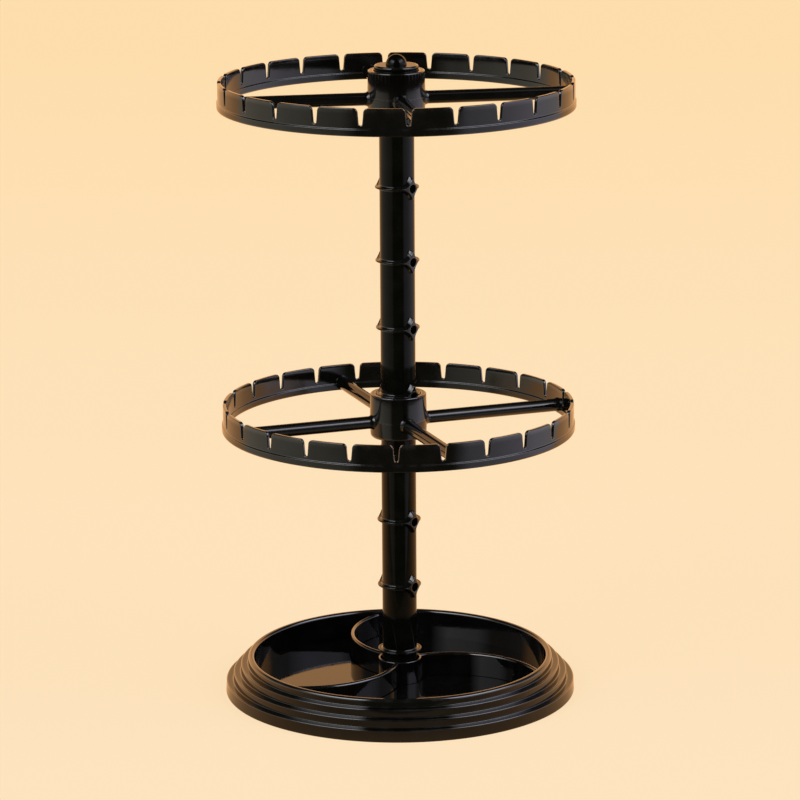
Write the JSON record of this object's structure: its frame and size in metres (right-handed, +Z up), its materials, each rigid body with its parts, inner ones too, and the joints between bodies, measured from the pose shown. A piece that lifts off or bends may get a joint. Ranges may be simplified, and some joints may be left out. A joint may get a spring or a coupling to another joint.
{
  "type": "nail polish rack",
  "caption": "Tiered rotating organiser: notched wheels that turn freely about a plug-together post with peg lugs, over a round divided tray with a stepped skirt.",
  "frame": {"origin": "centre of the tray's underside, on the axis of the post", "axes": "+Z up along the post; the peg lugs face 43 degrees from +X towards -Y and directly opposite"},
  "size_m": [0.1568, 0.1568, 0.2876],
  "materials": {
    "black_plastic": "high gloss moulded black, faint sink marks and parting lines"
  },
  "bodies": {
    "stand": {"base_tray": "black_plastic", "lower_post": "black_plastic", "middle_post": "black_plastic", "upper_post": "black_plastic", "top_cap": "black_plastic"},
    "lower_wheel": {"lower_wheel": "black_plastic"},
    "upper_wheel": {"upper_wheel": "black_plastic"}
  },
  "joints": [
    {"name": "lower_wheel_spin", "type": "hinge", "parent": "stand", "child": "lower_wheel", "pos_m": [0, 0, 0.1273], "axis": [0, 0, 1], "continuous": true},
    {"name": "upper_wheel_spin", "type": "hinge", "parent": "stand", "child": "upper_wheel", "pos_m": [0, 0, 0.2715], "axis": [0, 0, 1], "continuous": true}
  ]
}
